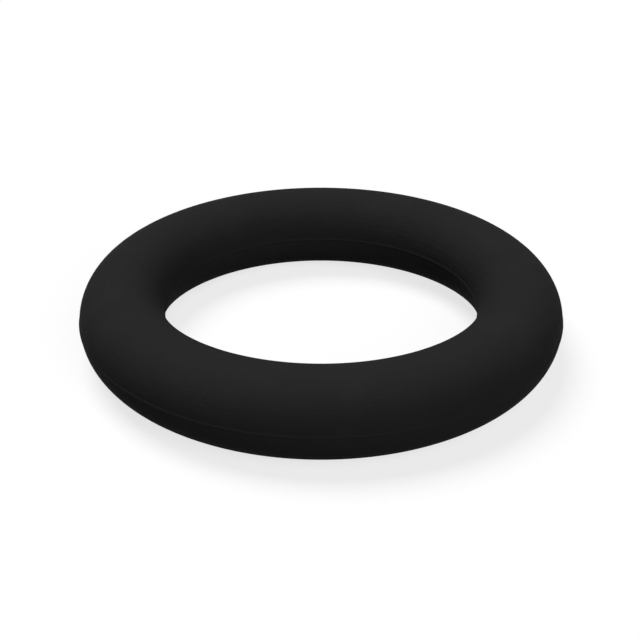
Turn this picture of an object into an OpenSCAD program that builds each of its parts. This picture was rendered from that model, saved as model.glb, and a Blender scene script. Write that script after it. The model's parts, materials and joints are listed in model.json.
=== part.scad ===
// Moulded rubber O-ring, lying flat. A round cord section is turned about the
// ring's axis, +Z. The origin is on that axis, in the plane where the two
// halves of the mould met. Lengths are in millimetres, angles in degrees.

/* [Ring] */
// Inside diameter, which sits in the groove of a shaft
inner_d = 15; // [8:0.5:60]
// Diameter of the round cord section
section_d = 4; // [2:0.1:8]

/* [Parting line] */
// How far the trimmed flash stands proud of the section
flash_h = 0.03; // [0.02:0.01:0.08]
// Width of the flat crest that trimming leaves on the flash
flash_crest_w = 0.06; // [0.04:0.01:0.1]
// Angle between a flank of the flash and the parting plane
flash_flank_angle = 45; // [30:5:60]

/* [Hidden] */
// Flats round a full circle
$fn = 180;
rubber_black = [0.13, 0.13, 0.13];

section_r = section_d / 2;
// Radius of the circle that the middle of the section follows
ring_r = inner_d / 2 + section_r;
// The flanks of the flash run on this far under the section's surface
flash_root_depth = flash_h;

// Ridge where the halves of the mould met, on the section's +X side. Its
// flanks widen from the trimmed crest to a root inside the section.
module flash() {
    crest_x = section_r + flash_h;
    root_x = section_r - flash_root_depth;
    root_w = flash_crest_w + 2 * (crest_x - root_x) * tan(flash_flank_angle);
    polygon([
        [root_x, -root_w / 2],
        [crest_x, -flash_crest_w / 2],
        [crest_x, flash_crest_w / 2],
        [root_x, root_w / 2]
    ]);
}

// Round cord, with flash on the sides that face the ring's axis and away from it
module cord_section() {
    circle(r = section_r);
    for (side = [0, 180]) {
        rotate(side) flash();
    }
}

module o_ring() {
    color(rubber_black)
        rotate_extrude()
            translate([ring_r, 0]) cord_section();
}

o_ring();
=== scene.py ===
"""Moulded rubber o-ring: its swept surface, its black rubber finish and a plain pale studio.

Lengths are in metres. The ring lies flat, with its centre at the origin and its axis along Z, and
the camera stands on its -Y side.
"""

import json
import math
from typing import NamedTuple

import bpy
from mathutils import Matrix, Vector


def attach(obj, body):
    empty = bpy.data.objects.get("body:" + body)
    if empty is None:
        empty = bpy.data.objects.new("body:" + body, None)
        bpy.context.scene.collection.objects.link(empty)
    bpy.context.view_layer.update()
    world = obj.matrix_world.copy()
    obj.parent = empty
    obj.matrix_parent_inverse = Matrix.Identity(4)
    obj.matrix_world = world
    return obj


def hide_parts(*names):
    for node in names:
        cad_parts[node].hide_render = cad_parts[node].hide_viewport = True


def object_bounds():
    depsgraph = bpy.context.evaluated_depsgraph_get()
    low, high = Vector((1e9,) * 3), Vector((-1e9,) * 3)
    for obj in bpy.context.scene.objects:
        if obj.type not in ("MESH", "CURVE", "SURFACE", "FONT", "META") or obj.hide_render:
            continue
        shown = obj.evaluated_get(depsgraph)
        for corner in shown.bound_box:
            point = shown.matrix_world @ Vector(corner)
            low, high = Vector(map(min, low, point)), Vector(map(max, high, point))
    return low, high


bl_info = {
    "name": "Moulded O-Ring",
    "version": (1, 0, 0),
    "blender": (4, 5, 0),
    "location": "3D View > Sidebar > O-Ring",
    "description": "Builds a moulded rubber o-ring and the studio that shows it",
    "category": "Object",
}

MM = 0.001
MICRON = 0.001 * MM
WHITE = (1, 1, 1, 1)

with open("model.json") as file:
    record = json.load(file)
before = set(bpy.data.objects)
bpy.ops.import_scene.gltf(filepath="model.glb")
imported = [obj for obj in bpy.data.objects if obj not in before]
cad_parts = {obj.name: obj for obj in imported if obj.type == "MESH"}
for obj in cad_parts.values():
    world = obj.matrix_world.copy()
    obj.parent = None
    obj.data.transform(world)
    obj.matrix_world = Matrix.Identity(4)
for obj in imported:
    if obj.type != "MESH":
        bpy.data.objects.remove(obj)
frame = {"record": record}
CAD_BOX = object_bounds()

# The ring's driving sizes, from the lands of its two round mounts and its height
LANDS = {mount["name"]: mount["dims"] for mount in frame["record"]["mounts"]}
RING_RADIUS = (LANDS["rim"]["r_mm"] + LANDS["bore"]["r_mm"]) / 2 * MM
SECTION_RADIUS = CAD_BOX[1].z
FLASH_HEIGHT = (LANDS["rim"]["r_mm"] - LANDS["bore"]["r_mm"]) / 2 * MM - SECTION_RADIUS
CREST_WIDTH = LANDS["rim"]["length_mm"] * MM


class RingShape(bpy.types.PropertyGroup):
    """Sizes of the moulded ring."""

    ring_radius: bpy.props.FloatProperty(
        name="Ring Radius",
        description="Radius of the circle that the middle of the cord follows",
        default=RING_RADIUS,
        unit="LENGTH",
    )
    section_radius: bpy.props.FloatProperty(
        name="Section Radius",
        description="Radius of the round cord section",
        default=SECTION_RADIUS,
        unit="LENGTH",
    )
    flash_height: bpy.props.FloatProperty(
        name="Flash Height",
        description="How far the trimmed flash stands proud of the section",
        default=FLASH_HEIGHT,
        unit="LENGTH",
    )
    crest_width: bpy.props.FloatProperty(
        name="Crest Width",
        description="Width of the flash's trimmed crest",
        default=CREST_WIDTH,
        unit="LENGTH",
    )
    nibble: bpy.props.FloatProperty(
        name="Nibble",
        description="Share of the flash's height that trimming takes off in places",
        default=0.5,
        subtype="FACTOR",
        min=0,
        max=1,
    )
    nibble_spacing: bpy.props.FloatProperty(
        name="Nibble Spacing",
        description="About how far apart the nibbled places are",
        default=0.7 * MM,
        unit="LENGTH",
        min=MICRON,
    )
    wander: bpy.props.FloatProperty(
        name="Wander",
        description="How far the flash strays from the parting plane",
        default=0.008 * MM,
        unit="LENGTH",
    )
    wander_spacing: bpy.props.FloatProperty(
        name="Wander Spacing",
        description="About how far apart the bends in the flash are",
        default=3 * MM,
        unit="LENGTH",
        min=MICRON,
    )
    ring_steps: bpy.props.IntProperty(
        name="Steps Round the Ring",
        description="Faces in one turn round the ring's axis",
        default=640,
        min=3,
    )
    section_steps: bpy.props.IntProperty(
        name="Steps Round the Section",
        description="Faces in one turn round the cord's section",
        default=144,
        min=3,
    )
    seed: bpy.props.IntProperty(
        name="Seed",
        description="Picks the pattern of nibbles and bends in the flash",
        default=7,
    )


class RubberFinish(bpy.types.PropertyGroup):
    """Colour and surface of the rubber."""

    colour: bpy.props.FloatVectorProperty(
        name="Colour",
        description="Colour of the moulded skin",
        default=(0.0205, 0.0205, 0.0205),
        subtype="COLOR",
        min=0,
        max=1,
    )
    bloom_colour: bpy.props.FloatVectorProperty(
        name="Bloom Colour",
        description="Colour of the skin where wax has come out of the rubber",
        default=(0.0225, 0.0225, 0.0225),
        subtype="COLOR",
        min=0,
        max=1,
    )
    bloom_spacing: bpy.props.FloatProperty(
        name="Bloom Spacing",
        description="About how far apart the patches of bloom are",
        default=2.2 * MM,
        unit="LENGTH",
        min=MICRON,
    )
    cut_colour: bpy.props.FloatVectorProperty(
        name="Cut Colour",
        description="Colour of the rubber that trimming lays bare on the flash",
        default=(0.0215, 0.0215, 0.0215),
        subtype="COLOR",
        min=0,
        max=1,
    )
    shine: bpy.props.FloatProperty(
        name="Shine",
        description="Strength of the skin's reflection, where 0.5 is usual for plastics",
        default=0.02,
        subtype="FACTOR",
        min=0,
        max=1,
    )
    roughness: bpy.props.FloatProperty(
        name="Roughness",
        description="Roughness of the moulded skin",
        default=0.85,
        subtype="FACTOR",
        min=0,
        max=1,
    )
    patchiness: bpy.props.FloatProperty(
        name="Patchiness",
        description="How far the roughness strays to either side, from patch to patch",
        default=0.05,
        subtype="FACTOR",
        min=0,
        max=1,
    )
    patch_spacing: bpy.props.FloatProperty(
        name="Patch Spacing",
        description="About how far apart the rougher patches are",
        default=0.8 * MM,
        unit="LENGTH",
        min=MICRON,
    )
    grain_depth: bpy.props.FloatProperty(
        name="Grain Depth",
        description="Height of the fine grain that the mould's surface leaves",
        default=15 * MICRON,
        unit="LENGTH",
    )
    grain_spacing: bpy.props.FloatProperty(
        name="Grain Spacing",
        description="About how far apart the bumps of the grain are",
        default=0.07 * MM,
        unit="LENGTH",
        min=MICRON,
    )
    ripple_depth: bpy.props.FloatProperty(
        name="Ripple Depth",
        description="Height of the broad, shallow ripples in the skin",
        default=28 * MICRON,
        unit="LENGTH",
    )
    ripple_spacing: bpy.props.FloatProperty(
        name="Ripple Spacing",
        description="About how far apart the ripples are",
        default=0.45 * MM,
        unit="LENGTH",
        min=MICRON,
    )
    turning_depth: bpy.props.FloatProperty(
        name="Turning Mark Depth",
        description="Height of the fine lines round the ring that the turned mould leaves",
        default=8 * MICRON,
        unit="LENGTH",
    )
    turning_spacing: bpy.props.FloatProperty(
        name="Turning Mark Spacing",
        description="About how far apart the turning marks are",
        default=0.16 * MM,
        unit="LENGTH",
        min=MICRON,
    )


class StudioSetup(bpy.types.PropertyGroup):
    """Camera, floor and backdrop."""

    view_distance: bpy.props.FloatProperty(
        name="View Distance",
        description="Distance from the camera to the ring's centre",
        default=61 * MM,
        unit="LENGTH",
    )
    view_elevation: bpy.props.FloatProperty(
        name="View Elevation",
        description="How high the camera stands over the ring's plane",
        default=math.radians(27.84),
        unit="ROTATION",
    )
    aim: bpy.props.FloatVectorProperty(
        name="Aim",
        description="Point that lies in the middle of the picture",
        default=(-0.05 * MM, -1.51 * MM, 0),
        subtype="TRANSLATION",
    )
    lens: bpy.props.FloatProperty(
        name="Lens",
        description="Focal length on a sensor 36 mm wide",
        default=71.08,
        unit="CAMERA",
    )
    floor_colour: bpy.props.FloatVectorProperty(
        name="Floor Colour",
        description="Colour of the floor for the light that it throws back",
        default=(0.25, 0.25, 0.25),
        subtype="COLOR",
        min=0,
        max=1,
    )
    floor_width: bpy.props.FloatProperty(
        name="Floor Width",
        description="Length of each side of the square floor",
        default=6,
        unit="LENGTH",
    )
    backdrop_top: bpy.props.FloatProperty(
        name="Backdrop Top",
        description="How high over the horizon the white backdrop starts to fade",
        default=math.radians(15),
        unit="ROTATION",
    )
    backdrop_end: bpy.props.FloatProperty(
        name="Backdrop End",
        description="How high over the horizon the backdrop has faded out",
        default=math.radians(20),
        unit="ROTATION",
    )


class Wire:
    """Output socket of a node. Arithmetic on it adds Math nodes to its tree."""

    def __init__(self, board, socket):
        self.board = board
        self.socket = socket

    def __add__(self, other):
        return self.board.math("ADD", self, other)

    def __radd__(self, other):
        return self.board.math("ADD", other, self)

    def __sub__(self, other):
        return self.board.math("SUBTRACT", self, other)

    def __rsub__(self, other):
        return self.board.math("SUBTRACT", other, self)

    def __mul__(self, other):
        return self.board.math("MULTIPLY", self, other)

    def __rmul__(self, other):
        return self.board.math("MULTIPLY", other, self)

    def __truediv__(self, other):
        return self.board.math("DIVIDE", self, other)

    def __rtruediv__(self, other):
        return self.board.math("DIVIDE", other, self)

    def output(self, name):
        """Another output of the same node."""
        return Wire(self.board, pick(self.socket.node.outputs, name))


def pick(sockets, key):
    """The usable socket with this name, or at this place in their order."""
    usable = [socket for socket in sockets if socket.enabled]
    if isinstance(key, int):
        return usable[key]
    return next(socket for socket in usable if socket.name == key)


class Board:
    """Node tree that is wired up with calls and expressions."""

    def __init__(self, tree):
        self.tree = tree
        self.tree.nodes.clear()

    def add(self, kind, settings=(), values=()):
        """Add a node: its settings come first, then the values or wires of its sockets."""
        node = self.tree.nodes.new(kind)
        for name, value in dict(settings).items():
            setattr(node, name, value)
        for key, value in dict(values).items():
            socket = pick(node.inputs, key)
            if isinstance(value, Wire):
                self.tree.links.new(value.socket, socket)
            else:
                socket.default_value = value
        usable = [socket for socket in node.outputs if socket.enabled]
        return Wire(self, usable[0]) if usable else None

    def math(self, operation, *values):
        """Add a Math node."""
        return self.add("ShaderNodeMath", {"operation": operation}, dict(enumerate(values)))

    def vector(self, operation, *values):
        """Add a Vector Math node."""
        return self.add("ShaderNodeVectorMath", {"operation": operation}, dict(enumerate(values)))

    def height(self, place):
        """The Z part of a place or a direction."""
        return self.add("ShaderNodeSeparateXYZ", {}, {"Vector": place}).output("Z")

    def way_from_axis(self, place):
        """The way to a place from the point of the Z axis that is level with it."""
        return self.vector("MULTIPLY", place, (1, 1, 0))

    def noise(self, place, spacing, detail=2, seed=0):
        """Smooth noise, about 0 to 1, whose bumps are about one spacing apart."""
        return self.add(
            "ShaderNodeTexNoise",
            {"noise_dimensions": "4D"},
            {"Vector": place, "W": seed, "Scale": 1 / spacing, "Detail": detail},
        )

    def noise_along(self, distance, spacing, detail=2):
        """Noise of the same kind that changes with one distance only."""
        return self.add(
            "ShaderNodeTexNoise",
            {"noise_dimensions": "1D"},
            {"W": distance, "Scale": 1 / spacing, "Detail": detail},
        )

    def mix_colour(self, factor, first, second):
        """Blend from the first colour to the second as the factor goes from 0 to 1."""
        return self.add("ShaderNodeMix", {"data_type": "RGBA"}, {"Factor": factor, "A": first, "B": second})

    def smooth_step(self, value, start, end):
        """Rise from 0 to 1 in a smooth curve as the value goes from start to end."""
        return self.add(
            "ShaderNodeMapRange",
            {"interpolation_type": "SMOOTHSTEP"},
            {"Value": value, "From Min": start, "From Max": end},
        )

    def group_inputs(self, kinds):
        for name, kind in kinds.items():
            self.tree.interface.new_socket(name=name, in_out="INPUT", socket_type=kind)
        first = self.add("NodeGroupInput")
        return {name: first.output(name) for name in kinds}

    def group_output(self, result):
        self.tree.interface.new_socket(name="Geometry", in_out="OUTPUT", socket_type="NodeSocketGeometry")
        self.add("NodeGroupOutput", {}, {"Geometry": result})


def flash_ridge(board, height, crest_width, flash_height):
    """Rounded profile of the flash, from 1 on its crest to 0 beside it."""
    half_crest = crest_width / 2
    shoulder = half_crest - flash_height / 2
    foot = half_crest + flash_height * 2
    return 1 - board.smooth_step(board.math("ABSOLUTE", height), shoulder, foot)


def flash_offset(board, size):
    """How far, and which way, each point of the cord moves to raise the flash."""
    point = board.add("GeometryNodeInputPosition")
    outward = board.vector("NORMALIZE", board.way_from_axis(point))
    middle = board.vector("SCALE", outward, size["Ring Radius"])
    away = board.vector("NORMALIZE", board.vector("SUBTRACT", point, middle))
    sway = (board.noise(point, size["Wander Spacing"], seed=size["Seed"]) - 0.5) * size["Wander"] * 2
    ridge = flash_ridge(board, board.height(point) - sway, size["Crest Width"], size["Flash Height"])
    bites = board.noise(point, size["Nibble Spacing"], seed=size["Seed"])
    bitten = board.smooth_step(bites, start=0.5, end=0.8)
    rise = ridge * size["Flash Height"] * (1 - bitten * size["Nibble"])
    return board.vector("SCALE", away, rise)


def cord_section(board, size):
    """Round section whose points crowd together at the parting plane, where the flash is."""
    # At 0 the points are evenly spaced, and at 1 no space is left between them at the parting plane
    crowding = 0.9
    circle = board.add(
        "GeometryNodeCurvePrimitiveCircle",
        {},
        {"Resolution": size["Section Steps"], "Radius": size["Section Radius"]},
    )
    even = board.add("GeometryNodeInputIndex") / size["Section Steps"] * math.tau
    angle = even - board.math("SINE", even * 2) * (crowding / 2)
    place = board.add(
        "ShaderNodeCombineXYZ",
        {},
        {
            "X": board.math("COSINE", angle) * size["Section Radius"],
            "Y": board.math("SINE", angle) * size["Section Radius"],
        },
    )
    return board.add("GeometryNodeSetPosition", {}, {"Geometry": circle, "Position": place})


def sweep_tree():
    """Tree that sweeps the round section round the ring and raises the flash on it."""
    board = Board(bpy.data.node_groups.new("o_ring_sweep", "GeometryNodeTree"))
    size = board.group_inputs(
        {
            "Ring Radius": "NodeSocketFloat",
            "Section Radius": "NodeSocketFloat",
            "Flash Height": "NodeSocketFloat",
            "Crest Width": "NodeSocketFloat",
            "Nibble": "NodeSocketFloat",
            "Nibble Spacing": "NodeSocketFloat",
            "Wander": "NodeSocketFloat",
            "Wander Spacing": "NodeSocketFloat",
            "Ring Steps": "NodeSocketInt",
            "Section Steps": "NodeSocketInt",
            "Seed": "NodeSocketInt",
            "Rubber": "NodeSocketMaterial",
        }
    )
    path = board.add(
        "GeometryNodeCurvePrimitiveCircle",
        {},
        {"Resolution": size["Ring Steps"], "Radius": size["Ring Radius"]},
    )
    cord = board.add(
        "GeometryNodeCurveToMesh",
        {},
        {"Curve": path, "Profile Curve": cord_section(board, size)},
    )
    moulded = board.add(
        "GeometryNodeSetPosition",
        {},
        {"Geometry": cord, "Offset": flash_offset(board, size)},
    )
    smooth = board.add("GeometryNodeSetShadeSmooth", {}, {"Geometry": moulded})
    real = board.add("GeometryNodeRealizeInstances", {}, {"Geometry": smooth})
    board.group_output(
        board.add("GeometryNodeSetMaterial", {}, {"Geometry": real, "Material": size["Rubber"]})
    )
    return board.tree


def swept_mesh(shape, rubber):
    """Evaluate the sweep with these sizes and return it as a plain mesh."""
    maker = bpy.data.objects.new("sweep", bpy.data.meshes.new("sweep"))
    bpy.context.scene.collection.objects.link(maker)
    modifier = maker.modifiers.new("Sweep", "NODES")
    modifier.node_group = sweep_tree()
    values = {
        "Ring Radius": shape.ring_radius,
        "Section Radius": shape.section_radius,
        "Flash Height": shape.flash_height,
        "Crest Width": shape.crest_width,
        "Nibble": shape.nibble,
        "Nibble Spacing": shape.nibble_spacing,
        "Wander": shape.wander,
        "Wander Spacing": shape.wander_spacing,
        "Ring Steps": shape.ring_steps,
        "Section Steps": shape.section_steps,
        "Seed": shape.seed,
        "Rubber": rubber,
    }
    for item in modifier.node_group.interface.items_tree:
        if item.in_out == "INPUT":
            modifier[item.identifier] = values[item.name]
    evaluated = maker.evaluated_get(bpy.context.evaluated_depsgraph_get())
    mesh = bpy.data.meshes.new_from_object(evaluated)
    bpy.data.objects.remove(maker)
    return mesh


def distance_round_section(board, point, shape):
    """Distance along the section's edge from its outermost point to this one."""
    from_axis = board.vector("LENGTH", board.way_from_axis(point)).output("Value")
    outward = from_axis - shape.ring_radius
    return board.math("ARCTAN2", board.height(point), outward) * shape.section_radius


def skin_relief(board, point, shape, finish):
    """Height of the skin in metres: fine grain, shallow ripples and the mould's turning marks."""
    grain = board.noise(point, finish.grain_spacing, detail=1)
    ripples = board.noise(point, finish.ripple_spacing, detail=1)
    turning = board.noise_along(distance_round_section(board, point, shape), finish.turning_spacing)
    return grain * finish.grain_depth + ripples * finish.ripple_depth + turning * finish.turning_depth


def rubber_material(shape, finish):
    """Black rubber as it leaves the mould: a fine matt skin, cut along the parting line."""
    material = bpy.data.materials.new("black_rubber")
    material.use_nodes = True
    board = Board(material.node_tree)
    point = board.add("ShaderNodeTexCoord").output("Object")
    wax = board.noise(point, finish.bloom_spacing, detail=4)
    bloom = board.smooth_step(wax, start=0.45, end=0.75)
    skin_colour = board.mix_colour(bloom, (*finish.colour, 1), (*finish.bloom_colour, 1))
    cut = flash_ridge(board, board.height(point), shape.crest_width, shape.flash_height)
    patches = board.noise(point, finish.patch_spacing, detail=3) * 2 - 1
    relief = skin_relief(board, point, shape, finish)
    skin = board.add(
        "ShaderNodeBsdfPrincipled",
        {},
        {
            "Base Color": board.mix_colour(cut, skin_colour, (*finish.cut_colour, 1)),
            "Roughness": finish.roughness + patches * finish.patchiness,
            "Specular IOR Level": finish.shine,
            "Normal": board.add("ShaderNodeBump", {}, {"Distance": 1, "Height": relief}),
        },
    )
    board.add("ShaderNodeOutputMaterial", {}, {"Surface": skin})
    return material


class MESH_OT_o_ring_add(bpy.types.Operator):
    """Sweep the moulded ring and give it its black rubber finish"""

    bl_idname = "mesh.o_ring_add"
    bl_label = "Moulded Ring"

    def execute(self, context):
        shape = context.scene.o_ring_shape
        rubber = rubber_material(shape, context.scene.o_ring_finish)
        ring = bpy.data.objects.new("moulded_ring", swept_mesh(shape, rubber))
        context.scene.collection.objects.link(ring)
        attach(ring, "root")
        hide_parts("o_ring")
        return {"FINISHED"}


class Softbox(NamedTuple):
    """Soft lamp, so far away that it lights floor and ring evenly."""

    name: str
    # Degrees from straight behind the ring, by way of its left
    bearing: float
    # Degrees above the floor
    elevation: float
    # Degrees that the lamp takes up, seen from the ring
    width: float
    # Light on a surface that faces the lamp, where 1 shows a colour as it is written
    level: float

    def direction(self):
        """The way from the ring to the lamp."""
        bearing, elevation = math.radians(self.bearing), math.radians(self.elevation)
        across = math.cos(elevation)
        return Vector((-math.sin(bearing) * across, math.cos(bearing) * across, math.sin(elevation)))


SOFTBOXES = (
    Softbox("back_left_softbox", bearing=45, elevation=65, width=36, level=0.80),
    Softbox("front_softbox", bearing=205, elevation=42, width=45, level=0.42),
)


def hang_softbox(scene, softbox):
    """Add one soft lamp to the scene."""
    data = bpy.data.lights.new(softbox.name, "SUN")
    data.angle = math.radians(softbox.width)
    data.energy = softbox.level * math.pi
    lamp = bpy.data.objects.new(softbox.name, data)
    lamp.rotation_euler = softbox.direction().to_track_quat("Z", "Y").to_euler()
    scene.collection.objects.link(lamp)


def seen(board):
    """1 for the rays that show the background: seen straight, mirrored or through glass."""
    path = board.add("ShaderNodeLightPath")
    rays = path.output("Is Camera Ray") + path.output("Is Glossy Ray") + path.output("Is Transmission Ray")
    return board.math("MINIMUM", rays, 1)


def floor_material(setup):
    """Matt floor, lifted to white where it is seen, which keeps the ring's shadow."""
    material = bpy.data.materials.new("pale_floor")
    material.use_nodes = True
    board = Board(material.node_tree)
    matt = board.add("ShaderNodeBsdfDiffuse", {}, {"Color": (*setup.floor_colour, 1)})
    lift_colour = [1 - channel for channel in setup.floor_colour]
    lift = board.add("ShaderNodeEmission", {}, {"Color": (*lift_colour, 1), "Strength": seen(board)})
    lifted = board.add("ShaderNodeAddShader", {}, {0: matt, 1: lift})
    board.add("ShaderNodeOutputMaterial", {}, {"Surface": lifted})
    return material


def lay_floor(scene, setup):
    """Add the floor that the ring lies on."""
    half = setup.floor_width / 2
    corners = [(-half, -half), (half, -half), (half, half), (-half, half)]
    mesh = bpy.data.meshes.new("floor")
    mesh.from_pydata([(x, y, CAD_BOX[0].z) for x, y in corners], [], [range(len(corners))])
    mesh.materials.append(floor_material(setup))
    floor = bpy.data.objects.new("floor", mesh)
    scene.collection.objects.link(floor)


def hang_backdrop(scene, setup):
    """Make the world a white backdrop that fades out upwards and throws no light of its own."""
    world = bpy.data.worlds.new("studio")
    world.use_nodes = True
    board = Board(world.node_tree)
    rise = board.height(board.add("ShaderNodeTexCoord").output("Generated"))
    faded = board.smooth_step(rise, math.sin(setup.backdrop_top), math.sin(setup.backdrop_end))
    strength = seen(board) * (1 - faded)
    background = board.add("ShaderNodeBackground", {}, {"Color": WHITE, "Strength": strength})
    board.add("ShaderNodeOutputWorld", {}, {"Surface": background})
    scene.world = world


def place_camera(scene, setup):
    """Put the camera in front of the ring and above it, and aim it at its point."""
    data = bpy.data.cameras.new("camera")
    data.lens = setup.lens
    data.clip_start = 1 * MM
    data.clip_end = 10
    camera = bpy.data.objects.new("camera", data)
    back = math.cos(setup.view_elevation) * setup.view_distance
    rise = math.sin(setup.view_elevation) * setup.view_distance
    camera.location = (0, -back, rise)
    camera.rotation_euler = (Vector(setup.aim) - camera.location).to_track_quat("-Z", "Y").to_euler()
    scene.collection.objects.link(camera)
    scene.camera = camera


class SCENE_OT_o_ring_stage(bpy.types.Operator):
    """Lay the pale floor, hang the backdrop and the soft lamps, and place the camera"""

    bl_idname = "scene.o_ring_stage"
    bl_label = "Studio"

    def execute(self, context):
        setup = context.scene.o_ring_studio
        context.scene.view_settings.view_transform = "Standard"
        lay_floor(context.scene, setup)
        hang_backdrop(context.scene, setup)
        for softbox in SOFTBOXES:
            hang_softbox(context.scene, softbox)
        place_camera(context.scene, setup)
        return {"FINISHED"}


class VIEW3D_PT_o_ring(bpy.types.Panel):
    """Sizes, finish and studio of the moulded ring"""

    bl_label = "Moulded O-Ring"
    bl_space_type = "VIEW_3D"
    bl_region_type = "UI"
    bl_category = "O-Ring"

    def draw(self, context):
        for operator, settings in (
            (MESH_OT_o_ring_add, (context.scene.o_ring_shape, context.scene.o_ring_finish)),
            (SCENE_OT_o_ring_stage, (context.scene.o_ring_studio,)),
        ):
            box = self.layout.box()
            for group in settings:
                for name in group.__annotations__:
                    box.prop(group, name)
            box.operator(operator.bl_idname)


CLASSES = (
    RingShape,
    RubberFinish,
    StudioSetup,
    MESH_OT_o_ring_add,
    SCENE_OT_o_ring_stage,
    VIEW3D_PT_o_ring,
)


def register():
    """Add the classes to Blender, and the ring's settings to its scenes."""
    for cls in CLASSES:
        bpy.utils.register_class(cls)
    bpy.types.Scene.o_ring_shape = bpy.props.PointerProperty(type=RingShape)
    bpy.types.Scene.o_ring_finish = bpy.props.PointerProperty(type=RubberFinish)
    bpy.types.Scene.o_ring_studio = bpy.props.PointerProperty(type=StudioSetup)


def unregister():
    """Take the settings and the classes out again."""
    del bpy.types.Scene.o_ring_studio
    del bpy.types.Scene.o_ring_finish
    del bpy.types.Scene.o_ring_shape
    for cls in reversed(CLASSES):
        bpy.utils.unregister_class(cls)


def main():
    """Build the ring and its studio."""
    register()
    bpy.ops.mesh.o_ring_add()
    bpy.ops.scene.o_ring_stage()


if __name__ == "__main__":
    main()
